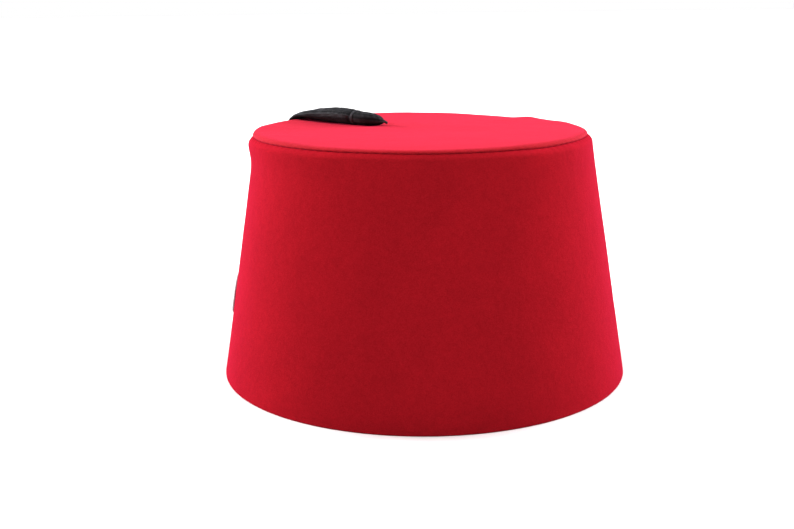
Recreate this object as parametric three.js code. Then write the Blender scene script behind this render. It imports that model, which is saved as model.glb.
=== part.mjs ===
// A fez: a stiff, tapered felt crown with a sewn-in felt top, and a black thread tassel that starts
// near the middle of the top, lies across it and falls over the edge. A small embroidered badge sits
// low on one side.
// Millimetres, +Z up. The origin is the middle of the rim, in the plane that the hat stands on.
import * as THREE from 'three';

// Driving dimensions.
const crownHeight = 115; // from the rim to the flat of the top
const rimRadius = 96.5; // outside of the wall at the rim
const slopeRadius = 77.7; // outside of the wall if its slope went on up to crownHeight
const feltThickness = 2.4;
const hemRounding = 0.6; // the felt's turned edge at the rim
const shoulderHeight = 109.6; // where the wall starts to roll in towards the top
const seamHeight = 112.6; // upper end of the wall, where the top is sewn on
const seamRadius = 76.1;
const seamGap = 0.3; // clearance kept between touching pieces
const edgeOverhang = 0.7; // how far the top's rounded edge stands out past the seam
const edgeRoll = 4.2; // width of the top's rounded edge
const topSag = 0.2; // how far the middle of the top lies under its edge
const aroundCrown = 72; // facets around the crown

const tasselAzimuth = 143; // where it goes over the edge, from +X towards +Y
const tasselEndHeight = 31; // the cut ends of its threads, above the rim's plane
const edgeBend = 6; // how far in from the wall the skirt starts to bend over the edge
const bendClearance = 0.95; // more clearance where it bends over the edge

const badgeHeight = 36; // middle of the badge above the rim's plane
const badgeAzimuth = 180;
const badgeRadius = 10;
const badgeThickness = 0.8;

const up = new THREE.Vector3(0, 0, 1);
const radians = THREE.MathUtils.degToRad;

// Smooth bump of height 1, about twice `spread` wide.
const bell = (distance, spread) => Math.exp(-((distance / spread) ** 2));

// Smallest angle between two azimuths, in degrees.
const turn = (a, b) => Math.abs(((a - b + 540) % 360) - 180);

// Where the felt puffs out or draws in from the plain taper, just under the top seam.
const wallPuffs = [
  { azimuth: 184, spread: 30, height: 110.5, reach: 6.8, out: 2.7 },
  { azimuth: 232, spread: 22, height: 109.0, reach: 4.0, out: 0.35 },
  { azimuth: 318, spread: 20, height: 108.0, reach: 6.0, out: 0.5 },
  { azimuth: 20, spread: 24, height: 109.0, reach: 5.0, out: 0.4 },
];

// Where the seam runs off a level circle: outwards, and up or down.
const seamWobbles = [
  { azimuth: 183, spread: 34, out: 2.8, lift: 0.25 },
  { azimuth: 252, spread: 12, out: 0, lift: 0.15 },
  { azimuth: 312, spread: 9, out: 0, lift: -0.3 },
];

// Ripples in the edge of the top, from the broadest to the smallest.
const topRipples = [
  { azimuth: 130, spread: 62, lift: 1.0 },
  { azimuth: 268, spread: 55, lift: -0.8 },
  { azimuth: 30, spread: 40, lift: -0.6 },
  { azimuth: 62, spread: 12, lift: -0.6 },
  { azimuth: 51, spread: 5, lift: -0.35 },
  { azimuth: 42, spread: 5, lift: 0.6 },
  { azimuth: 20, spread: 6, lift: 0.25 },
  { azimuth: 176, spread: 8, lift: 0.4 },
];

// Where the tassel lies on the top, from the head's end to where it starts to go over the edge.
const tasselLay = [
  { x: -18.4, y: 15.8 },
  { x: -24.5, y: 15.4 },
  { x: -29.9, y: 17.8 },
  { x: -35.2, y: 22.4 },
  { x: -41.8, y: 29.2 },
  { x: -48.6, y: 35.4 },
];
const stemFoot = { x: -17.6, y: 24.0 }; // where the tassel is sewn down to the top

const sumOf = (rows, azimuth, column) =>
  rows.reduce((sum, row) => sum + row[column] * bell(turn(azimuth, row.azimuth), row.spread), 0);

const taperRadius = (z) => rimRadius - ((rimRadius - slopeRadius) * z) / crownHeight;

const wallRadius = (azimuth, z) =>
  wallPuffs.reduce((radius, row) => {
    const share = bell(turn(azimuth, row.azimuth), row.spread) * bell(z - row.height, row.reach);
    return radius + row.out * share;
  }, taperRadius(z));

const seamOut = (azimuth) => seamRadius + sumOf(seamWobbles, azimuth, 'out');
const seamUp = (azimuth) => seamHeight + sumOf(seamWobbles, azimuth, 'lift');

const polar = (radius, azimuth, z) =>
  new THREE.Vector3(radius * Math.cos(radians(azimuth)), radius * Math.sin(radians(azimuth)), z);

// A closed mesh through rings of points, all of one length: a tube bent round on itself if `closed`,
// or else with each end ring filled by a fan.
function skin(rings, closed) {
  const count = rings[0].length;
  const points = rings.flat();
  const faces = [];
  const at = (ring, i) => (ring % rings.length) * count + (i % count);
  const bands = closed ? rings.length : rings.length - 1;
  for (let ring = 0; ring < bands; ring += 1) {
    for (let i = 0; i < count; i += 1) {
      faces.push(at(ring, i), at(ring, i + 1), at(ring + 1, i + 1));
      faces.push(at(ring, i), at(ring + 1, i + 1), at(ring + 1, i));
    }
  }
  if (!closed) {
    for (const ring of [0, rings.length - 1]) {
      const middle = new THREE.Vector3();
      rings[ring].forEach((point) => middle.addScaledVector(point, 1 / count));
      points.push(middle);
      for (let i = 0; i < count; i += 1) {
        const [a, b] = ring === 0 ? [i + 1, i] : [i, i + 1];
        faces.push(points.length - 1, at(ring, a), at(ring, b));
      }
    }
  }
  const volume = faces.reduce((sum, _, i) => {
    if (i % 3) return sum;
    const [a, b, c] = [points[faces[i]], points[faces[i + 1]], points[faces[i + 2]]];
    return sum + a.dot(new THREE.Vector3().crossVectors(b, c)) / 6;
  }, 0);
  if (volume < 0) faces.reverse();
  const geometry = new THREE.BufferGeometry().setFromPoints(points);
  geometry.setIndex(faces);
  geometry.computeVertexNormals();
  return geometry;
}

const crownRing = (place) =>
  Array.from({ length: aroundCrown }, (_, i) => {
    const azimuth = (360 * i) / aroundCrown;
    const { radius, z } = place(azimuth);
    return polar(radius, azimuth, z);
  });

// The wall: up its outside, round the shoulder to the seam, and down its inside.
function crownWall() {
  const outside = [hemRounding, 14, 32, 50, 68, 84, 93, 98, 102, 105.5, 108, shoulderHeight];
  const shoulder = [0.3, 0.55, 0.8, 1]; // share of the roll from the shoulder to the seam
  const inside = [seamHeight - 4, 100, 80, 54, 28, hemRounding];
  const onWall = (z, inset) => crownRing((azimuth) => ({ radius: wallRadius(azimuth, z) - inset, z }));
  const onShoulder = (share) =>
    crownRing((azimuth) => {
      const from = wallRadius(azimuth, shoulderHeight);
      const angle = (share * Math.PI) / 2;
      return {
        radius: seamOut(azimuth) + (from - seamOut(azimuth)) * Math.cos(angle),
        z: shoulderHeight + (seamUp(azimuth) - shoulderHeight) * Math.sin(angle),
      };
    });
  const rings = [
    crownRing(() => ({ radius: rimRadius - hemRounding, z: 0 })),
    ...outside.map((z) => onWall(z, 0)),
    ...shoulder.map(onShoulder),
    crownRing((azimuth) => ({ radius: seamOut(azimuth) - feltThickness, z: seamUp(azimuth) })),
    ...inside.map((z) => onWall(z, feltThickness)),
    crownRing(() => ({ radius: rimRadius - feltThickness + hemRounding, z: 0 })),
  ];
  return skin(rings, true);
}

// Height of the top's upper face at a share of the way out to where its edge starts to turn down.
const edgeRadius = (azimuth) => seamOut(azimuth) + edgeOverhang;
const edgeUp = (azimuth) => crownHeight + sumOf(topRipples, azimuth, 'lift');
const topHeight = (azimuth, share) =>
  crownHeight - topSag * (1 - share ** 2) + (edgeUp(azimuth) - crownHeight) * share ** 6;

// The top: a very slightly hollow disc whose edge rolls down to the seam.
function crownTop() {
  const flat = [0.1, 0.3, 0.5, 0.68, 0.82, 0.92]; // share of the way out to the edge
  const onFlat = (share) =>
    crownRing((azimuth) => ({
      radius: (edgeRadius(azimuth) - edgeRoll) * share,
      z: topHeight(azimuth, share),
    }));
  const edge = [
    { inset: edgeRoll, drop: 0 },
    { inset: 2.4, drop: 0.04 },
    { inset: 1.2, drop: 0.14 },
    { inset: 0.35, drop: 0.34 },
    { inset: 0, drop: 0.6 },
    { inset: 0.2, drop: 0.84 },
    { inset: 0.7, drop: 1 },
  ]; // drop is a share of the way from the top's face down to the seam
  const under = [0.96, 0.6, 0.2]; // share of the way out to the seam
  const rings = [
    ...flat.map(onFlat),
    ...edge.map(({ inset, drop }) =>
      crownRing((azimuth) => ({
        radius: edgeRadius(azimuth) - inset,
        z: THREE.MathUtils.lerp(edgeUp(azimuth), seamUp(azimuth) + seamGap, drop),
      })),
    ),
    ...under.map((share) =>
      crownRing((azimuth) => ({
        radius: seamOut(azimuth) * share,
        z: seamHeight + seamGap + (seamUp(azimuth) - seamHeight) * share ** 2,
      })),
    ),
  ];
  return skin(rings, false);
}

// The height of the top's upper face under a point of the tassel.
function topUnder({ x, y }) {
  const azimuth = THREE.MathUtils.radToDeg(Math.atan2(y, x));
  const share = Math.hypot(x, y) / (edgeRadius(azimuth) - edgeRoll);
  return topHeight(azimuth, Math.min(share, 1)) + seamGap;
}

const bendRadius = wallRadius(tasselAzimuth, shoulderHeight) + seamGap - edgeBend;

// The line that the tassel's underside follows: across the top, over the edge and down the wall.
function tasselRoute() {
  const bendTop = topUnder(polar(bendRadius, tasselAzimuth, 0)) + bendClearance;
  const points = tasselLay.map((place) => new THREE.Vector3(place.x, place.y, topUnder(place)));
  for (let angle = 0; angle <= 90; angle += 15) {
    const radius = bendRadius + edgeBend * Math.sin(radians(angle));
    const height = (bendTop - shoulderHeight) * Math.cos(radians(angle));
    points.push(polar(radius, tasselAzimuth, shoulderHeight + height));
  }
  for (let z = shoulderHeight - 5; z > tasselEndHeight - 1; z -= 9) {
    points.push(polar(wallRadius(tasselAzimuth, z) + seamGap, tasselAzimuth, z));
  }
  return new THREE.CatmullRomCurve3(points, false, 'centripetal');
}

const route = tasselRoute();
const routeLength = route.getLength();
const outward = polar(1, tasselAzimuth, 0);

// An elliptical ring across the route: `width` along the felt and `thick` away from it, with its
// underside `lift` off the route.
function tasselRing({ run, width, thick, lift = 0 }, sides) {
  const place = Math.min(run / routeLength, 1);
  const along = route.getTangentAt(place);
  const foot = route.getPointAt(place);
  const beyond = THREE.MathUtils.clamp((Math.hypot(foot.x, foot.y) - bendRadius) / edgeBend, 0, 1);
  const across = new THREE.Vector3().crossVectors(along, up.clone().lerp(outward, beyond)).normalize();
  const away = new THREE.Vector3().crossVectors(across, along).normalize();
  const centre = foot.addScaledVector(away, lift + thick / 2);
  return Array.from({ length: sides }, (_, i) => {
    const angle = (2 * Math.PI * i) / sides;
    return centre
      .clone()
      .addScaledVector(across, (Math.cos(angle) * width) / 2)
      .addScaledVector(away, (Math.sin(angle) * thick) / 2);
  });
}

// The head: the folded threads above the tie. run is measured along the route from the head's end.
const headSections = [
  { run: 0.2, width: 2.2, thick: 1.6, lift: 1.0 },
  { run: 1.2, width: 4.4, thick: 3.2, lift: 0.5 },
  { run: 2.8, width: 6.4, thick: 4.5, lift: 0.15 },
  { run: 5.2, width: 8.1, thick: 5.6 },
  { run: 8.4, width: 9.0, thick: 6.1 },
  { run: 11, width: 8.6, thick: 6.0 },
  { run: 13.2, width: 7.8, thick: 5.8, lift: 0.1 },
  { run: 14.2, width: 7.0, thick: 5.4, lift: 0.3 },
];

// The tie: thread wound round the neck.
const tieSections = [
  { run: 14.5, width: 7.0, thick: 5.4, lift: 0.3 },
  { run: 14.8, width: 8.4, thick: 6.6, lift: 0 },
  { run: 16.0, width: 8.4, thick: 6.6, lift: 0 },
  { run: 16.3, width: 7.0, thick: 5.4, lift: 0.3 },
];

// The skirt: the loose threads, which spread and flatten as they go over the edge.
const skirtSections = [
  { run: 16.6, width: 7.4, thick: 5.8, lift: 0.2 },
  { run: 17.6, width: 9.2, thick: 6.7 },
  { run: 21, width: 11.2, thick: 7.2 },
  { run: 26, width: 12.4, thick: 7.3 },
  { run: 31, width: 13.2, thick: 7.0 },
  { run: 36, width: 14.0, thick: 6.5 },
  { run: 41, width: 14.8, thick: 5.7 },
  { run: 46, width: 15.8, thick: 4.4 },
  { run: 50, width: 16.8, thick: 3.4 },
  { run: 54, width: 17.6, thick: 2.8 },
  { run: 57, width: 18.0, thick: 2.7 },
  { run: 60, width: 18.2, thick: 2.7 },
  { run: 63, width: 18.4, thick: 3.0 },
  { run: 70, width: 18.8, thick: 3.8 },
  { run: 80, width: 19.6, thick: 4.4 },
  { run: 96, width: 20.6, thick: 4.8 },
  { run: 114, width: 21.6, thick: 4.8 },
  { run: 130, width: 22.4, thick: 4.4 },
  { run: routeLength, width: 23.0, thick: 3.8 },
];

const tasselSolid = (sections, sides) =>
  skin(
    sections.map((section) => tasselRing(section, sides)),
    false,
  );

// The stem: the cord that runs from the head's end back to where it is sewn down.
function tasselStem() {
  const start = route.getPointAt(0).add(new THREE.Vector3(0.5, 0.9, 1.7));
  const foot = new THREE.Vector3(stemFoot.x, stemFoot.y, topUnder(stemFoot) + 0.5);
  const middle = start.clone().lerp(foot, 0.5).add(new THREE.Vector3(0.3, 0, 0.2));
  const path = new THREE.CatmullRomCurve3([start, middle, foot]);
  const section = new THREE.Shape().absarc(0, 0, 0.6, 0, 2 * Math.PI);
  return new THREE.ExtrudeGeometry(section, {
    extrudePath: path,
    steps: 8,
    curveSegments: 5,
    bevelEnabled: false,
  });
}

// The badge: a round embroidered patch that follows the wall.
function badge() {
  const place = (radius, angle, stand) => {
    const across = radius * Math.cos(angle);
    const z = badgeHeight + radius * Math.sin(angle);
    const out = wallRadius(badgeAzimuth, z);
    return polar(out + stand, badgeAzimuth + THREE.MathUtils.radToDeg(across / out), z);
  };
  const sections = [
    { share: 0.3, stand: 0.9 },
    { share: 0.78, stand: 0.9 },
    { share: 0.86, stand: 1 },
    { share: 0.97, stand: 0.85 },
    { share: 1, stand: 0.45 },
    { share: 1, stand: 0 },
    { share: 0.5, stand: 0 },
  ]; // share of the radius, and stand as a share of the thickness
  const sides = 28;
  const rings = sections.map(({ share, stand }) =>
    Array.from({ length: sides }, (_, i) =>
      place(badgeRadius * share, (2 * Math.PI * i) / sides, seamGap + badgeThickness * stand),
    ),
  );
  return skin(rings, false);
}

const felt = new THREE.MeshStandardMaterial({ color: 0xc0141f, roughness: 0.95, metalness: 0 });
const thread = new THREE.MeshStandardMaterial({ color: 0x17161a, roughness: 0.6, metalness: 0 });
const embroidery = new THREE.MeshStandardMaterial({ color: 0xe4e2e4, roughness: 0.6, metalness: 0 });

const hat = new THREE.Group();
const add = (name, geometry, material) => {
  const mesh = new THREE.Mesh(geometry, material);
  mesh.name = name;
  hat.add(mesh);
};

add('crown_wall', crownWall(), felt);
add('crown_top', crownTop(), felt);
add('tassel_stem', tasselStem(), thread);
add('tassel_head', tasselSolid(headSections, 14), thread);
add('tassel_tie', tasselSolid(tieSections, 18), thread);
add('tassel_skirt', tasselSolid(skirtSections, 16), thread);
add('side_badge', badge(), embroidery);

export default hat;
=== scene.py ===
import math
import random

import bpy
from mathutils import Matrix, Vector, noise


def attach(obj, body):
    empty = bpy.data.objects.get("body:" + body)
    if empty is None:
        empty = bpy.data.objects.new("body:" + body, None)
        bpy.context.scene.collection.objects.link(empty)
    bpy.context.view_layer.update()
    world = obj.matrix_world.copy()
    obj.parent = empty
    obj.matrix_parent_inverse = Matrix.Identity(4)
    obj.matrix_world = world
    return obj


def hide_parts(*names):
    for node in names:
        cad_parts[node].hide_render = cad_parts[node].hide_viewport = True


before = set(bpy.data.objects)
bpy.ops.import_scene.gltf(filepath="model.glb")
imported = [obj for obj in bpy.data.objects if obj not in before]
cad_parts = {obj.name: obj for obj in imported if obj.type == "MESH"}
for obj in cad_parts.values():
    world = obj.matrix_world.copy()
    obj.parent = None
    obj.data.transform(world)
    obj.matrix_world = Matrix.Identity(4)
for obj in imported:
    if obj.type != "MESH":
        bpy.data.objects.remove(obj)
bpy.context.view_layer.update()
print("frame loaded:", len(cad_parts), "nodes")

mm = 0.001
scene = bpy.context.scene


# the camera stands in front of the hat and a little above it
viewer = {
    "place": (0.0, -0.5034, 0.1685),   # where the camera stands, metres
    "tiltDown": 13.33,                 # degrees below level
    "turn": -1.44,                     # degrees off the +Y line
    "lean": 0.65,                      # roll, degrees
    "lens": 48.47,                     # mm on a 36 mm sensor
}


def makeCamera(setup):
    tilt, turnBy, lean = (math.radians(setup[k]) for k in ("tiltDown", "turn", "lean"))
    level = Vector((math.sin(turnBy), math.cos(turnBy), 0.0))
    ahead = level * math.cos(tilt) - Vector((0, 0, 1)) * math.sin(tilt)
    aside = Vector((math.cos(turnBy), -math.sin(turnBy), 0.0))
    above = aside.cross(ahead)
    right = aside * math.cos(lean) - above * math.sin(lean)
    top = above * math.cos(lean) + aside * math.sin(lean)
    data = bpy.data.cameras.new("camera")
    data.sensor_width = 36.0
    data.sensor_fit = "HORIZONTAL"
    data.lens = setup["lens"]
    data.clip_start, data.clip_end = 0.01, 50.0
    camera = bpy.data.objects.new("camera", data)
    facing = Matrix((right, top, -ahead)).transposed().to_4x4()
    camera.matrix_world = Matrix.Translation(setup["place"]) @ facing
    scene.collection.objects.link(camera)
    scene.camera = camera
    return camera


makeCamera(viewer)


# geometry helpers, all in millimetres
def bell(distance, spread):
    return math.exp(-((distance / spread) ** 2))


def apart(a, b):
    return abs((a - b + 540.0) % 360.0 - 180.0)


def between(a, b, share):
    return a + (b - a) * share


def polar(radius, azimuth, z):
    angle = math.radians(azimuth)
    return Vector((radius * math.cos(angle), radius * math.sin(angle), z))


def meshPiece(name, points, faces, material, smooth=True):
    mesh = bpy.data.meshes.new(name)
    mesh.from_pydata([tuple(p * mm) for p in points], [], faces)
    mesh.materials.append(material)
    if smooth:
        mesh.polygons.foreach_set("use_smooth", [True] * len(mesh.polygons))
    mesh.update()
    piece = bpy.data.objects.new(name, mesh)
    scene.collection.objects.link(piece)
    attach(piece, "root")
    return piece


def ringFaces(ringCount, around, closed, offset=0):
    # quads between neighbouring rings; closed joins the last ring to the first
    faces = []
    for r in range(ringCount if closed else ringCount - 1):
        a = offset + r * around
        b = offset + ((r + 1) % ringCount) * around
        for i in range(around):
            j = (i + 1) % around
            faces.append((a + i, a + j, b + j, b + i))
    return faces


# node helpers for the materials
def newMaterial(name):
    material = bpy.data.materials.new(name)
    material.use_nodes = True
    tree = material.node_tree
    shader = tree.nodes["Principled BSDF"]
    return material, tree, shader


def addNode(tree, kind, **settings):
    node = tree.nodes.new(kind)
    for key, value in settings.items():
        if key in node.inputs:
            node.inputs[key].default_value = value
        else:
            setattr(node, key, value)
    return node


def coordinates(tree, stretch=(1.0, 1.0, 1.0)):
    source = addNode(tree, "ShaderNodeTexCoord")
    mapping = addNode(tree, "ShaderNodeMapping")
    mapping.inputs["Scale"].default_value = stretch
    tree.links.new(source.outputs["Object"], mapping.inputs["Vector"])
    return mapping.outputs["Vector"]


def noiseTexture(tree, vector, scale, detail=3.0, roughness=0.6, distortion=0.0):
    node = addNode(tree, "ShaderNodeTexNoise")
    node.inputs["Scale"].default_value = scale
    node.inputs["Detail"].default_value = detail
    node.inputs["Roughness"].default_value = roughness
    node.inputs["Distortion"].default_value = distortion
    tree.links.new(vector, node.inputs["Vector"])
    return node.outputs["Fac"]


def ramp(tree, factor, stops):
    node = addNode(tree, "ShaderNodeValToRGB")
    band = node.color_ramp
    while len(band.elements) < len(stops):
        band.elements.new(0.5)
    for element, (position, colour) in zip(band.elements, stops):
        element.position = position
        element.color = (*colour, 1.0)
    tree.links.new(factor, node.inputs["Fac"])
    return node.outputs["Color"]


def mixColours(tree, factor, first, second, blend="MIX"):
    node = addNode(tree, "ShaderNodeMix", data_type="RGBA", blend_type=blend)
    for socket, value in ((node.inputs[0], factor), (node.inputs[6], first), (node.inputs[7], second)):
        if isinstance(value, (int, float)):
            socket.default_value = value
        elif isinstance(value, tuple):
            socket.default_value = (*value, 1.0)
        else:
            tree.links.new(value, socket)
    return node.outputs[2]


def maths(tree, operation, first, second=0.0):
    node = addNode(tree, "ShaderNodeMath", operation=operation)
    for socket, value in ((node.inputs[0], first), (node.inputs[1], second)):
        if isinstance(value, (int, float)):
            socket.default_value = value
        else:
            tree.links.new(value, socket)
    return node.outputs[0]


def bump(tree, height, distance, strength=1.0, under=None):
    node = addNode(tree, "ShaderNodeBump")
    node.inputs["Strength"].default_value = strength
    node.inputs["Distance"].default_value = distance
    tree.links.new(height, node.inputs["Height"])
    if under is not None:
        tree.links.new(under, node.inputs["Normal"])
    return node.outputs["Normal"]


feltLook = {
    "mottleHollowShade": (0.295, 0.0085, 0.0150),   # painted shade in the fibre hollows, also random mottle
    "main": (0.430, 0.0150, 0.0260),
    "mottleTipHighlight": (0.525, 0.0265, 0.0430),   # painted highlight on the raised fibre ends, also random mottle
    "roughness": 0.92,
    "sheen": 0.30,
    "sheenRoughness": 0.42,
    "sheenTint": (1.0, 0.04, 0.24),
    "fibreScale": 2100.0,              # per metre
    "fleckScale": 420.0,
    "cloudScale": 38.0,
    "napDepth": 0.00012,               # metres
}


def feltMaterial(name, look, lift, shine):
    material, tree, shader = newMaterial(name)
    vector = coordinates(tree)
    drawn = coordinates(tree, (1.0, 1.0, 0.35))
    fibres = noiseTexture(tree, vector, look["fibreScale"], 4.0, 0.7, 0.6)
    hairs = noiseTexture(tree, drawn, look["fibreScale"] * 0.45, 5.0, 0.75, 2.2)
    flecks = noiseTexture(tree, vector, look["fleckScale"], 4.0, 0.65)
    clouds = noiseTexture(tree, vector, look["cloudScale"], 3.0, 0.55)
    # the fibre noise also sets the bump height, so this ramp paints shade into the hollows of the nap and
    # light onto its raised ends, on top of random mottle
    colour = ramp(tree, fibres, [(0.32, look["mottleHollowShade"]), (0.52, look["main"]), (0.76, look["mottleTipHighlight"])])
    thin, dense = (tuple(c * k for c in look["main"]) for k in (0.86, 1.08))
    matted = ramp(tree, flecks, [(0.32, thin), (0.68, dense)])
    colour = mixColours(tree, 0.45, colour, matted)
    # painted light and shade: lift brightens or darkens the whole felt, making lit and shaded copies of one
    # felt
    shade = ramp(tree, clouds, [(0.32, (0.945 * lift,) * 3), (0.68, (1.025 * lift,) * 3)])
    colour = mixColours(tree, 1.0, colour, shade, "MULTIPLY")
    tree.links.new(colour, shader.inputs["Base Color"])
    height = maths(tree, "ADD", maths(tree, "MULTIPLY", fibres, 0.5), maths(tree, "MULTIPLY", hairs, 0.5))
    broad = bump(tree, flecks, look["napDepth"] * 2.2, 0.5)
    tree.links.new(bump(tree, height, look["napDepth"], 0.8, broad), shader.inputs["Normal"])
    shader.inputs["Roughness"].default_value = look["roughness"]
    shader.inputs["Sheen Weight"].default_value = look["sheen"]
    shader.inputs["Sheen Roughness"].default_value = look["sheenRoughness"]
    shader.inputs["Sheen Tint"].default_value = (*look["sheenTint"], 1.0)
    shader.inputs["Specular IOR Level"].default_value = shine
    return material


# painted shade on the wall (0.94) and painted light on the top (1.05), though both are the same red felt
wallMaterial = feltMaterial("wallFelt", feltLook, 0.94, 0.02)
topMaterial = feltMaterial("topFelt", feltLook, 1.05, 0.24)
print("felt ready")


# the felt crown
crown = {
    "height": 115.0,
    "rimRadius": 96.5,
    "slopeRadius": 77.7,       # the wall's slope carried up to the full height
    "felt": 2.4,               # thickness
    "shoulder": 109.2,
    "seamHeight": 112.6,
    "seamRadius": 76.1,
    "edgeOverhang": 0.7,
    "edgeRoll": 4.2,
    "topSag": 0.2,
    "around": 780,             # points in each ring
    "wallRings": 78,
    "insideRings": 24,
    "topRings": 60,
    "seamStitches": 112,
    "hemRounding": 0.6,
    "dimple": (-17.6, 24.0),   # where the tassel's cord is drawn down into the felt
    "dimpleDepth": 0.5,
}

# where the felt puffs out under the seam: azimuth, spread, height, reach, out
wallPuffs = [
    (184, 30, 110.5, 6.8, 2.7),
    (232, 22, 109.0, 4.0, 0.35),
    (318, 20, 108.0, 6.0, 0.5),
    (20, 24, 109.0, 5.0, 0.4),
]

# where the seam leaves a level circle: azimuth, spread, out, lift
seamWobbles = [
    (183, 34, 2.8, 0.25),
    (252, 12, 0.0, 0.15),
    (312, 9, 0.0, -0.3),
]

# ripples in the edge of the top: azimuth, spread, lift
topRipples = [
    (130, 62, 1.0),
    (268, 55, -0.8),
    (30, 40, -0.6),
    (62, 12, -0.6),
    (51, 5, -0.35),
    (42, 5, 0.6),
    (20, 6, 0.25),
    (176, 8, 0.4),
]

# the shoulder from the wall up to the seam: share of the way in, share of the rise
shoulderShape = [
    (0.008, 0.10), (0.03, 0.20), (0.07, 0.30), (0.13, 0.40), (0.21, 0.49), (0.31, 0.58), (0.42, 0.66),
    (0.54, 0.74), (0.66, 0.82), (0.78, 0.89), (0.88, 0.95), (0.95, 0.985), (1.0, 1.0),
]


def wander(x, y, z, scale, seed):
    # soft random value, about -1 to 1
    return noise.noise(Vector((x * scale + seed, y * scale - seed * 0.7, z * scale + seed * 1.3)))


def wallRadius(azimuth, z):
    radius = crown["rimRadius"] - (crown["rimRadius"] - crown["slopeRadius"]) * z / crown["height"]
    for a, spread, height, reach, out in wallPuffs:
        radius += out * bell(apart(azimuth, a), spread) * bell(z - height, reach)
    return radius


def seamOut(azimuth):
    return crown["seamRadius"] + sum(out * bell(apart(azimuth, a), s) for a, s, out, lift in seamWobbles)


def seamUp(azimuth):
    return crown["seamHeight"] + sum(lift * bell(apart(azimuth, a), s) for a, s, out, lift in seamWobbles)


def edgeRadius(azimuth):
    return seamOut(azimuth) + crown["edgeOverhang"]


def edgeUp(azimuth):
    return crown["height"] + sum(lift * bell(apart(azimuth, a), s) for a, s, lift in topRipples)


def topHeight(azimuth, share):
    sag = crown["topSag"] * (1 - share ** 2)
    return crown["height"] - sag + (edgeUp(azimuth) - crown["height"]) * share ** 6


def dimple(x, y):
    cx, cy = crown["dimple"]
    return -crown["dimpleDepth"] * bell(math.hypot(x - cx, y - cy), 3.2)


def pucker(azimuth):
    # the felt gathers very slightly at each stitch of the seam
    turn = math.radians(azimuth * crown["seamStitches"])
    return math.cos(turn + 2.0 * wander(azimuth * 0.05, 0, 0, 1.0, 4.1))


def makeWall():
    around = crown["around"]
    hem = crown["hemRounding"]
    count = crown["wallRings"]
    heights = [hem + (crown["shoulder"] - hem) * k / count for k in range(count + 1)]
    rings = []
    azimuths = [360.0 * i / around for i in range(around)]

    def surface(azimuth, z, radius):
        p = polar(radius, azimuth, z)
        soft = 0.16 * wander(p.x, p.y, p.z, 0.035, 2.0) + 0.07 * wander(p.x, p.y, p.z, 0.11, 9.0)
        nap = 0.035 * wander(p.x, p.y, p.z, 0.8, 5.0)
        return radius + soft + nap

    for step in range(4):  # the turned lower edge
        angle = math.radians(90 * step / 4)
        inset, z = hem * (1 - math.sin(angle)), hem * (1 - math.cos(angle))
        rings.append([polar(wallRadius(a, 0) - inset, a, z) for a in azimuths])
    for z in heights:
        rings.append([polar(surface(a, z, wallRadius(a, z)), a, z) for a in azimuths])
    for inward, rise in shoulderShape:
        ring = []
        for a in azimuths:
            start = wallRadius(a, crown["shoulder"])
            radius = between(start, seamOut(a), inward)
            z = between(crown["shoulder"], seamUp(a), rise)
            gather = 0.10 * pucker(a) * rise ** 3
            ring.append(polar(between(surface(a, z, radius), radius, rise) + gather, a, z + gather * 0.4))
        rings.append(ring)
    rings.append([polar(seamOut(a) - 0.35, a, seamUp(a) + 0.02) for a in azimuths])  # into the groove
    rings.append([polar(seamOut(a) - 1.2, a, seamUp(a) - 0.05) for a in azimuths])
    rings.append([polar(seamOut(a) - crown["felt"], a, seamUp(a) - 0.1) for a in azimuths])
    for k in range(crown["insideRings"] + 1):  # down the inside
        z = between(crown["seamHeight"] - 4, hem, k / crown["insideRings"])
        ring = []
        for a in azimuths:
            soft = 0.12 * wander(a * 0.3, z, 0, 0.15, 3.0)
            ring.append(polar(wallRadius(a, z) - crown["felt"] + soft, a, z))
        rings.append(ring)
    rings.append([polar(crown["rimRadius"] - crown["felt"] + hem * 0.3, a, hem * 0.3) for a in azimuths])
    rings.append([polar(crown["rimRadius"] - crown["felt"] + hem, a, 0.0) for a in azimuths])
    points = [p for ring in rings for p in ring]
    piece = meshPiece("wallFelt", points, ringFaces(len(rings), around, True), wallMaterial)
    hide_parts("crown_wall")
    return piece


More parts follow.
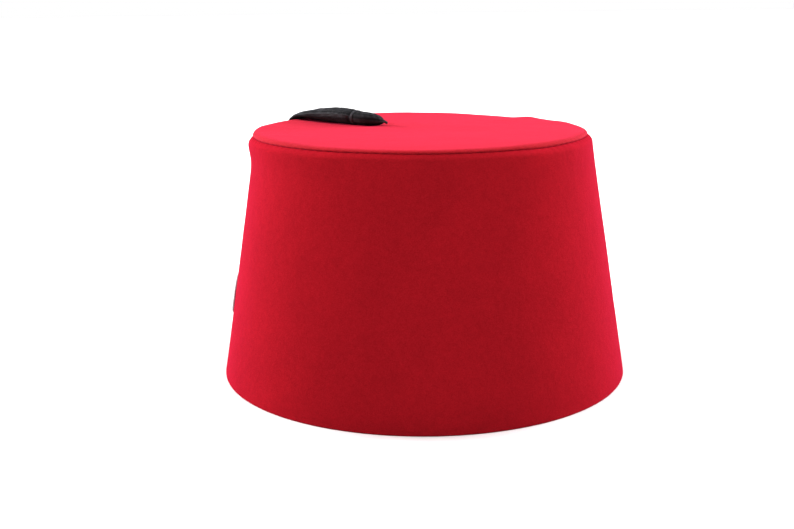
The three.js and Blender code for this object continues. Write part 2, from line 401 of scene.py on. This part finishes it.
def makeTop():
    around = crown["around"]
    azimuths = [360.0 * i / around for i in range(around)]
    profile = [
        (4.2, 0.0), (3.6, 0.005), (3.0, 0.018), (2.5, 0.045), (2.0, 0.095), (1.6, 0.16), (1.2, 0.26),
        (0.88, 0.37), (0.66, 0.49), (0.52, 0.61), (0.45, 0.73), (0.46, 0.84), (0.56, 0.93),
        (0.75, 0.985), (0.95, 1.0),
    ]  # inset from the edge, share of the drop to the seam
    rings = []
    for k in range(1, crown["topRings"] + 1):
        share = (k / (crown["topRings"] + 1)) ** 0.9
        ring = []
        for a in azimuths:
            p = polar((edgeRadius(a) - crown["edgeRoll"]) * share, a, 0)
            soft = 0.16 * wander(p.x, p.y, 0, 0.045, 7.0) + 0.06 * wander(p.x, p.y, 0, 0.16, 1.0)
            nap = 0.03 * wander(p.x, p.y, 0, 0.9, 6.0)
            ring.append(polar(p.length, a, topHeight(a, share) + soft + nap + dimple(p.x, p.y)))
        rings.append(ring)
    for inset, drop in profile:
        ring = []
        for a in azimuths:
            gather = 0.10 * pucker(a) * drop ** 3
            p = polar(edgeRadius(a) - inset, a, 0)
            soft = 0.16 * wander(p.x, p.y, 0, 0.045, 7.0) + 0.06 * wander(p.x, p.y, 0, 0.16, 1.0)
            z = between(edgeUp(a), seamUp(a) + 0.04, drop) + soft * (1 - drop)
            ring.append(polar(p.length + gather, a, z))
        rings.append(ring)
    for share in (0.985, 0.97, 0.7, 0.4, 0.1):
        ring = []
        for a in azimuths:
            z = between(crown["seamHeight"], seamUp(a), share ** 2) + 0.04
            ring.append(polar(seamOut(a) * share, a, z))
        rings.append(ring)
    points = [p for ring in rings for p in ring]
    faces = ringFaces(len(rings), around, False)
    points.append(Vector((0, 0, topHeight(0, 0))))
    points.append(Vector((0, 0, crown["seamHeight"] + 0.04)))
    last = (len(rings) - 1) * around
    for i in range(around):
        j = (i + 1) % around
        faces.append((len(points) - 2, j, i))
        faces.append((len(points) - 1, last + i, last + j))
    piece = meshPiece("topFelt", points, [tuple(reversed(f)) for f in faces], topMaterial)
    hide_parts("crown_top")
    return piece


makeWall()
makeTop()
print("crown made")


tassel = {
    "azimuth": 143.0,          # where it goes over the edge
    "endHeight": 31.0,         # above the rim
    "edgeBend": 6.0,           # radius of the route over the edge
    "bendClearance": 0.7,
    "wallGap": 0.3,
    "routeStep": 0.5,
    "lay": [(-18.4, 15.8), (-24.5, 15.4), (-29.9, 17.8), (-35.2, 22.4), (-41.8, 29.2), (-48.6, 35.4)],
    "skirtStart": 15.6,        # how far along the route the skirt begins
    "skirtThreads": 420,
    "headThreads": 120,
    "threadThickness": 0.62,
}

# run along the route, width along the felt, thickness away from it, lift off the route
headSections = [
    (0.1, 1.8, 1.3, 1.1), (1.2, 4.4, 3.2, 0.5), (2.8, 6.4, 4.5, 0.15), (5.2, 8.1, 5.6, 0.0),
    (8.4, 9.0, 6.1, 0.0), (11.0, 8.8, 6.3, 0.0), (13.2, 8.6, 6.5, 0.0), (14.6, 8.6, 6.6, -0.05),
    (16.6, 8.4, 6.4, 0.0),
]
skirtSections = [
    (15.4, 8.4, 6.5, 0.0), (16.4, 9.2, 6.9, 0.0), (17.4, 10.0, 7.1, 0.0), (21, 11.4, 7.3, 0),
    (26, 12.4, 7.4, 0), (31, 13.2, 7.1, 0), (36, 14.0, 6.6, 0), (41, 14.8, 5.8, 0),
    (46, 15.8, 4.3, -0.1), (50, 16.8, 3.1, -0.2), (54, 17.6, 2.4, -0.3), (57, 18.0, 2.5, -0.3),
    (60, 18.2, 2.4, -0.2), (63, 18.4, 2.8, 0), (70, 18.8, 3.6, 0), (80, 19.6, 4.4, 0),
    (96, 20.6, 4.8, 0), (114, 21.6, 4.8, 0), (130, 22.4, 4.4, 0), (142, 23.0, 3.8, 0),
]


def sectionAt(sections, run):
    if run <= sections[0][0]:
        return sections[0][1:]
    for (r0, *a), (r1, *b) in zip(sections, sections[1:]):
        if run <= r1:
            share = (run - r0) / (r1 - r0)
            share = share * share * (3 - 2 * share) * 0.5 + share * 0.5
            return tuple(between(p, q, share) for p, q in zip(a, b))
    return sections[-1][1:]


def topUnder(x, y, gap=0.15):
    azimuth = math.degrees(math.atan2(y, x))
    share = math.hypot(x, y) / (edgeRadius(azimuth) - crown["edgeRoll"])
    return topHeight(azimuth, min(share, 1.0)) + gap


def smoothLine(points, spacing):
    # centripetal curve through the points, cut into equal steps
    dense = []
    padded = [points[0] * 2 - points[1]] + points + [points[-1] * 2 - points[-2]]
    for i in range(1, len(padded) - 2):
        p0, p1, p2, p3 = padded[i - 1:i + 3]
        t0 = 0.0
        t1 = t0 + max((p1 - p0).length, 1e-6) ** 0.5
        t2 = t1 + max((p2 - p1).length, 1e-6) ** 0.5
        t3 = t2 + max((p3 - p2).length, 1e-6) ** 0.5
        for k in range(24):
            t = t1 + (t2 - t1) * k / 24
            a1 = p0 * ((t1 - t) / (t1 - t0)) + p1 * ((t - t0) / (t1 - t0))
            a2 = p1 * ((t2 - t) / (t2 - t1)) + p2 * ((t - t1) / (t2 - t1))
            a3 = p2 * ((t3 - t) / (t3 - t2)) + p3 * ((t - t2) / (t3 - t2))
            b1 = a1 * ((t2 - t) / (t2 - t0)) + a2 * ((t - t0) / (t2 - t0))
            b2 = a2 * ((t3 - t) / (t3 - t1)) + a3 * ((t - t1) / (t3 - t1))
            dense.append(b1 * ((t2 - t) / (t2 - t1)) + b2 * ((t - t1) / (t2 - t1)))
    dense.append(points[-1].copy())
    line, carried = [dense[0]], 0.0
    for a, b in zip(dense, dense[1:]):
        step = (b - a).length
        while carried + step >= spacing:
            share = (spacing - carried) / step
            a = a.lerp(b, share)
            step = (b - a).length
            line.append(a)
            carried = 0.0
        carried += step
    line.append(dense[-1])
    return line


outward = polar(1, tassel["azimuth"], 0)
bendRadius = wallRadius(tassel["azimuth"], crown["shoulder"]) + tassel["wallGap"] - tassel["edgeBend"]


def makeRoute():
    azimuth = tassel["azimuth"]
    points = [Vector((x, y, topUnder(x, y))) for x, y in tassel["lay"]]
    start = polar(bendRadius, azimuth, 0)
    bendTop = topUnder(start.x, start.y) + tassel["bendClearance"]
    for degrees in range(0, 91, 15):
        angle = math.radians(degrees)
        radius = bendRadius + tassel["edgeBend"] * math.sin(angle)
        z = crown["shoulder"] + (bendTop - crown["shoulder"]) * math.cos(angle)
        points.append(polar(radius, azimuth, z))
    z = crown["shoulder"] - 5
    while z > tassel["endHeight"] - 1:
        points.append(polar(wallRadius(azimuth, z) + tassel["wallGap"], azimuth, z))
        z -= 9
    return smoothLine(points, tassel["routeStep"])


route = makeRoute()
routeLength = tassel["routeStep"] * (len(route) - 1)


def routeAt(run):
    place = min(max(run / tassel["routeStep"], 0.0), len(route) - 1.001)
    i = int(place)
    point = route[i].lerp(route[i + 1], place - i)
    along = (route[min(i + 2, len(route) - 1)] - route[max(i - 1, 0)]).normalized()
    beyond = min(max((math.hypot(point.x, point.y) - bendRadius) / tassel["edgeBend"], 0.0), 1.0)
    across = along.cross(Vector((0, 0, 1)).lerp(outward, beyond)).normalized()
    away = across.cross(along).normalized()
    return point, along, across, away


def pointIn(sections, run, u, v):
    # u across, v away from the felt, each -1 to 1 in the section's ellipse
    width, thick, lift = sectionAt(sections, run)
    point, along, across, away = routeAt(run)
    return point + across * (u * width / 2) + away * (lift + thick / 2 + v * thick / 2)


def tube(points, radii, sides, twist=0.0):
    # points and faces of one thread
    made, faces = [], []
    side = None
    for i, p in enumerate(points):
        along = (points[min(i + 1, len(points) - 1)] - points[max(i - 1, 0)]).normalized()
        if side is None:
            side = along.orthogonal().normalized()
        side = (side - along * side.dot(along)).normalized()
        other = along.cross(side)
        for k in range(sides):
            angle = 2 * math.pi * k / sides + twist * i
            made.append(p + (side * math.cos(angle) + other * math.sin(angle)) * radii[i])
    for i in range(len(points) - 1):
        a, b = i * sides, (i + 1) * sides
        for k in range(sides):
            j = (k + 1) % sides
            faces.append((a + k, a + j, b + j, b + k))
    faces.append(tuple(range(sides - 1, -1, -1)))
    faces.append(tuple(range(len(made) - sides, len(made))))
    return made, faces


class Bundle:
    def __init__(self, seed=1):
        self.points, self.faces, self.strand = [], [], []
        self.rng = random.Random(seed)

    def add(self, made, tone=0.5):
        # every thread gets one value for its colour, near that of its lock
        points, faces = made
        start = len(self.points)
        self.points += points
        self.faces += [tuple(i + start for i in face) for face in faces]
        self.strand += [tone + 0.25 * (self.rng.random() - 0.5)] * len(points)


def paintStrands(piece, values):
    layer = piece.data.attributes.new("strand", "FLOAT", "POINT")
    layer.data.foreach_set("value", values)


threadLook = {
    "dark": (0.0290, 0.0290, 0.0320),
    "main": (0.0490, 0.0485, 0.0540),
    "pale": (0.0860, 0.0845, 0.0910),
    "roughness": 0.55,
    "sheen": 0.04,
    "shine": 0.06,
    "twistScale": 1500.0,
}


def threadMaterial(name, look, lift=1.0):
    material, tree, shader = newMaterial(name)
    vector = coordinates(tree)
    fleck = noiseTexture(tree, vector, 700.0, 2.0, 0.5)
    drift = noiseTexture(tree, vector, 120.0, 2.0, 0.5)
    own = addNode(tree, "ShaderNodeAttribute", attribute_name="strand").outputs["Fac"]
    strands = maths(tree, "ADD", maths(tree, "MULTIPLY", own, 0.75), maths(tree, "MULTIPLY", fleck, 0.25))
    colour = ramp(tree, strands, [
        (0.25, tuple(c * lift for c in look["dark"])),
        (0.50, tuple(c * lift for c in look["main"])),
        (0.85, tuple(c * lift for c in look["pale"])),
    ])
    shade = ramp(tree, drift, [(0.3, (0.8,) * 3), (0.7, (1.25,) * 3)])
    tree.links.new(mixColours(tree, 1.0, colour, shade, "MULTIPLY"), shader.inputs["Base Color"])
    wave = addNode(tree, "ShaderNodeTexWave", wave_type="BANDS", bands_direction="DIAGONAL")
    wave.inputs["Scale"].default_value = look["twistScale"]
    wave.inputs["Distortion"].default_value = 1.5
    tree.links.new(vector, wave.inputs["Vector"])
    tree.links.new(bump(tree, wave.outputs["Fac"], 0.00006, 0.7), shader.inputs["Normal"])
    shader.inputs["Roughness"].default_value = look["roughness"]
    shader.inputs["Sheen Weight"].default_value = look["sheen"]
    shader.inputs["Sheen Roughness"].default_value = 0.4
    shader.inputs["Specular IOR Level"].default_value = look["shine"]
    return material


skirtMaterial = threadMaterial("skirtThread", threadLook)
headMaterial = threadMaterial("headThread", threadLook, 0.9)
# painted highlight: the tie is the same black thread drawn 2.2 times brighter, standing in for the light
# caught by the wound ring
tieMaterial = threadMaterial("tieThread", threadLook, 2.2)


def makeInside(name, sections, runs, share, material):
    # a smooth core, so that no light shows between the threads
    sides = 40
    angles = [2 * math.pi * k / sides for k in range(sides)]
    points = []
    for run in runs:
        points += [pointIn(sections, run, share * math.cos(a), share * math.sin(a)) for a in angles]
    faces = ringFaces(len(runs), sides, False)
    faces.append(tuple(range(sides - 1, -1, -1)))
    faces.append(tuple(range(len(points) - sides, len(points))))
    meshPiece(name, points, faces, material)


def makeSkirt():
    rng = random.Random(31)
    bundle = Bundle()
    count = tassel["skirtThreads"]
    for n in range(count):
        if n % 5 < 4:
            angle = 2 * math.pi * n / count + rng.uniform(-0.05, 0.05)
            radius = rng.uniform(0.84, 0.95)
        else:
            angle = rng.uniform(0, 2 * math.pi)
            radius = rng.uniform(0.35, 0.8)
        end = routeLength - abs(rng.gauss(0, 2.2)) - (rng.uniform(4, 16) if rng.random() < 0.08 else 0)
        run, points, radii = tassel["skirtStart"], [], []
        seed = rng.uniform(0, 500)
        drift = rng.gauss(0, 0.10)
        while run < end:
            grown = min((run - tassel["skirtStart"]) / 30.0, 1.0)
            turn = angle + drift * grown * (run / routeLength)
            turn += 0.16 * grown * noise.noise(Vector((run * 0.055, seed, 0)))
            reach = min(radius * (1 + 0.07 * grown * noise.noise(Vector((run * 0.08, seed, 9)))), 0.97)
            points.append(pointIn(skirtSections, run, reach * math.cos(turn), reach * math.sin(turn)))
            radii.append(tassel["threadThickness"] / 2 * rng.uniform(0.94, 1.06))
            run += 2.2 if run < 66 else 4.0
        lock = noise.noise(Vector((4.5 * math.cos(angle), 4.5 * math.sin(angle), 2.0)))
        bundle.add(tube(points, radii, 4, 0.55), 0.5 + 0.9 * lock)
    piece = meshPiece("tasselSkirt", bundle.points, bundle.faces, skirtMaterial)
    paintStrands(piece, bundle.strand)
    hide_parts("tassel_skirt")
    runs = [16.0 + k for k in range(math.ceil(routeLength - 20.0))]
    makeInside("tasselSkirtInside", skirtSections, runs, 0.86, skirtMaterial)
    return piece


def makeHead():
    rng = random.Random(12)
    bundle = Bundle()
    count = tassel["headThreads"]
    for n in range(count):
        angle = 2 * math.pi * n / count + rng.uniform(-0.02, 0.02)
        points, radii = [], []
        run, seed = 0.2, rng.uniform(0, 500)
        while run < tassel["skirtStart"]:
            sway = 0.10 * noise.noise(Vector((run * 0.12, seed, 3))) * min(run / 4, 1)
            reach = 0.93 + 0.03 * noise.noise(Vector((run * 0.2, seed, 8)))
            turn = angle + sway
            points.append(pointIn(headSections, run, reach * math.cos(turn), reach * math.sin(turn)))
            radii.append(0.31 if run > 2.5 else 0.12 + 0.076 * run)
            run += 0.35 if run < 2 else 0.9
        lock = noise.noise(Vector((3.5 * math.cos(angle), 3.5 * math.sin(angle), 8.0)))
        bundle.add(tube(points, radii, 5, 0.5), 0.5 + 0.8 * lock)
    piece = meshPiece("tasselHead", bundle.points, bundle.faces, headMaterial)
    paintStrands(piece, bundle.strand)
    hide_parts("tassel_head")
    runs = [0.3 + 15.3 * (k / 43) ** 1.3 for k in range(44)]
    makeInside("tasselHeadInside", headSections, runs, 0.91, headMaterial)
    return piece


tie = {
    "start": 14.0,             # how far along the route
    "reach": 1.3,
    "turns": 5,
    "steps": 44,               # points in each turn
    "section": (8.5, 6.7, -0.05),   # width, thickness, lift
    "threadRadius": 0.22,
}


def makeTie():
    bundle = Bundle()
    count = tie["turns"] * tie["steps"]
    width, thick, lift = tie["section"]
    points = []
    for k in range(count + 1):
        angle = 2 * math.pi * k / tie["steps"]
        point, along, across, away = routeAt(tie["start"] + tie["reach"] * k / count)
        rise = lift + thick / 2 + math.sin(angle) * thick / 2
        points.append(point + across * (math.cos(angle) * width / 2) + away * rise)
    bundle.add(tube(points, [tie["threadRadius"]] * len(points), 8, 0.4))
    piece = meshPiece("tasselTie", bundle.points, bundle.faces, tieMaterial)
    paintStrands(piece, bundle.strand)
    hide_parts("tassel_tie")
    return piece


stem = {
    "foot": crown["dimple"],
    "step": 0.25,
    "plies": 3,
    "plyRadius": 0.31,
    "plyFromMiddle": 0.32,
    "twistLength": 2.6,        # along the stem for one full twist
}


def makeStem():
    start = pointIn(headSections, 0.4, 0.2, 0.1)
    foot = Vector((*stem["foot"], topUnder(*stem["foot"]) + 0.2))
    middle = start.lerp(foot, 0.5) + Vector((0.3, 0, -0.1))
    line = smoothLine([start, middle, foot], stem["step"])
    bundle = Bundle()
    for ply in range(stem["plies"]):
        points = []
        for i, p in enumerate(line):
            along = (line[min(i + 1, len(line) - 1)] - line[max(i - 1, 0)]).normalized()
            side = along.cross(Vector((0, 0, 1))).normalized()
            over = side.cross(along)
            angle = 2 * math.pi * (ply / stem["plies"] + i * stem["step"] / stem["twistLength"])
            points.append(p + (side * math.cos(angle) + over * math.sin(angle)) * stem["plyFromMiddle"])
        bundle.add(tube(points, [stem["plyRadius"]] * len(points), 8))
    piece = meshPiece("tasselStem", bundle.points, bundle.faces, headMaterial)
    paintStrands(piece, bundle.strand)
    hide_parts("tassel_stem")
    return piece


makeSkirt()
makeHead()
makeTie()
makeStem()
print("tassel made")


# the embroidered patch on the side
badge = {
    "height": 36.0,
    "azimuth": 180.0,
    "radius": 10.0,
    "borderWidth": 1.7,
    "borderStitches": 150,
    "borderSlant": 0.035,      # radians from the outer end to the inner end
    "fillRows": 46,
}
badgeLook = {
    "thread": (0.74, 0.73, 0.74),
    "shadow": (0.46, 0.45, 0.47),
}


def badgeMaterial(name, look):
    material, tree, shader = newMaterial(name)
    vector = coordinates(tree)
    fine = noiseTexture(tree, vector, 2600.0, 3.0, 0.6)
    drift = noiseTexture(tree, vector, 300.0, 2.0, 0.5)
    dull = tuple(c * 0.9 for c in look["thread"])
    close = ramp(tree, fine, [(0.3, look["shadow"]), (0.65, look["thread"])])
    broad = ramp(tree, drift, [(0.3, dull), (0.7, look["thread"])])
    colour = mixColours(tree, 0.35, close, broad)
    tree.links.new(colour, shader.inputs["Base Color"])
    tree.links.new(bump(tree, fine, 0.00004, 0.8), shader.inputs["Normal"])
    shader.inputs["Roughness"].default_value = 0.5
    shader.inputs["Sheen Weight"].default_value = 0.3
    shader.inputs["Sheen Roughness"].default_value = 0.35
    return material


def makeBadge():
    material = badgeMaterial("badgeThread", badgeLook)

    def place(x, y, stand):
        z = badge["height"] + y
        out = wallRadius(badge["azimuth"], z)
        return polar(out + stand, badge["azimuth"] + math.degrees(x / out), z)

    bundle = Bundle()
    count = badge["borderStitches"]
    outer, inner = badge["radius"], badge["radius"] - badge["borderWidth"]
    for n in range(count):
        angle = 2 * math.pi * n / count
        shape = [
            (outer, 0.25, 0.0), (outer + 0.02, 0.5, 0.1), (outer - 0.25, 0.82, 0.25),
            (outer - 0.8, 0.98, 0.5), (inner + 0.35, 0.9, 0.8), (inner - 0.05, 0.6, 1.0),
        ]  # radius, height over the felt, share of the slant
        points = []
        for radius, stand, share in shape:
            a = angle + badge["borderSlant"] * share
            points.append(place(radius * math.cos(a), radius * math.sin(a), stand))
        bundle.add(tube(points, [0.22] * len(points), 6))
    rows = badge["fillRows"]
    rng = random.Random(5)
    for n in range(rows):  # rows of flat stitches across the middle
        y = between(-inner + 0.15, inner - 0.15, (n + 0.5) / rows)
        half = math.sqrt(max(inner ** 2 - y ** 2, 0.0))
        x = -half + 0.05
        while x < half - 0.3:
            length = min(rng.uniform(2.6, 3.4), half - x)
            steps = (0.0, 0.2, 0.5, 0.8, 1.0)
            points = [place(x + length * t, y, 0.45 + 0.22 * math.sin(math.pi * t)) for t in steps]
            bundle.add(tube(points, [0.16, 0.2, 0.21, 0.2, 0.16], 5))
            x += length
    piece = meshPiece("sideBadge", bundle.points, bundle.faces, material)
    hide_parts("side_badge")
    backing = [(0.02, 0.42), (0.5, 0.42), (0.9, 0.45), (0.985, 0.4), (0.99, 0.12), (0.9, 0.06), (0.02, 0.06)]
    sides = 90
    angles = [2 * math.pi * k / sides for k in range(sides)]
    points = []
    for share, stand in backing:
        reach = outer * share
        points += [place(reach * math.cos(a), reach * math.sin(a), stand) for a in angles]
    faces = ringFaces(len(backing), sides, False)
    faces.append(tuple(range(sides - 1, -1, -1)))
    faces.append(tuple(range(len(points) - sides, len(points))))
    meshPiece("sideBadgeBacking", points, faces, material)


makeBadge()
print("badge made")


# white floor, pale surroundings and three soft lights
studio = {
    "floor": (0.80, 0.80, 0.805),
    "horizon": 1.0,      # the pale wall all round
    "ceiling": 0.08,
    "gamma": 0.8,
}
# direction that each soft light comes from, strength, softness in degrees
softLights = {
    "leftLight": ((-0.906, 0.44, 0.34), 4.55, 42),
    "rightLight": ((0.88, 0.47, 0.36), 3.7, 42),
    "topLight": ((0.0, 0.03, 1.0), 3.5, 60),
}


def makeFloor():
    mesh = bpy.data.meshes.new("floor")
    reach = 90.0
    corners = [(-reach, -reach, 0), (reach, -reach, 0), (reach, reach, 0), (-reach, reach, 0)]
    mesh.from_pydata(corners, [], [(0, 1, 2, 3)])
    floor = bpy.data.objects.new("floor", mesh)
    scene.collection.objects.link(floor)
    material, tree, shader = newMaterial("floorPaper")
    grain = noiseTexture(tree, coordinates(tree), 60.0, 2.0, 0.5)
    base = studio["floor"]
    shade = ramp(tree, grain, [(0.3, tuple(c * 0.99 for c in base)), (0.7, base)])
    tree.links.new(shade, shader.inputs["Base Color"])
    shader.inputs["Roughness"].default_value = 1.0
    shader.inputs["Specular IOR Level"].default_value = 0.0
    mesh.materials.append(material)


def makeWorld():
    # pale near the horizon, dim overhead
    world = bpy.data.worlds.new("studio")
    world.use_nodes = True
    tree = world.node_tree
    source = addNode(tree, "ShaderNodeTexCoord")
    split = addNode(tree, "ShaderNodeSeparateXYZ")
    tree.links.new(source.outputs["Generated"], split.inputs[0])
    low, high = (studio["horizon"],) * 3, (studio["ceiling"],) * 3
    shade = ramp(tree, split.outputs["Z"], [(0.0, low), (0.035, low), (0.24, high)])
    tree.links.new(shade, tree.nodes["Background"].inputs["Color"])
    scene.world = world


def softLight(name, direction, strength, softness):
    data = bpy.data.lights.new(name, "SUN")
    data.energy = strength
    data.angle = math.radians(softness)
    light = bpy.data.objects.new(name, data)
    light.rotation_euler = Vector(direction).to_track_quat("Z", "Y").to_euler()
    scene.collection.objects.link(light)


makeFloor()
makeWorld()
for name, (direction, strength, softness) in softLights.items():
    softLight(name, direction, strength, softness)

scene.view_settings.view_transform = "Standard"
scene.view_settings.look = "None"
scene.view_settings.gamma = studio["gamma"]
print("studio ready")
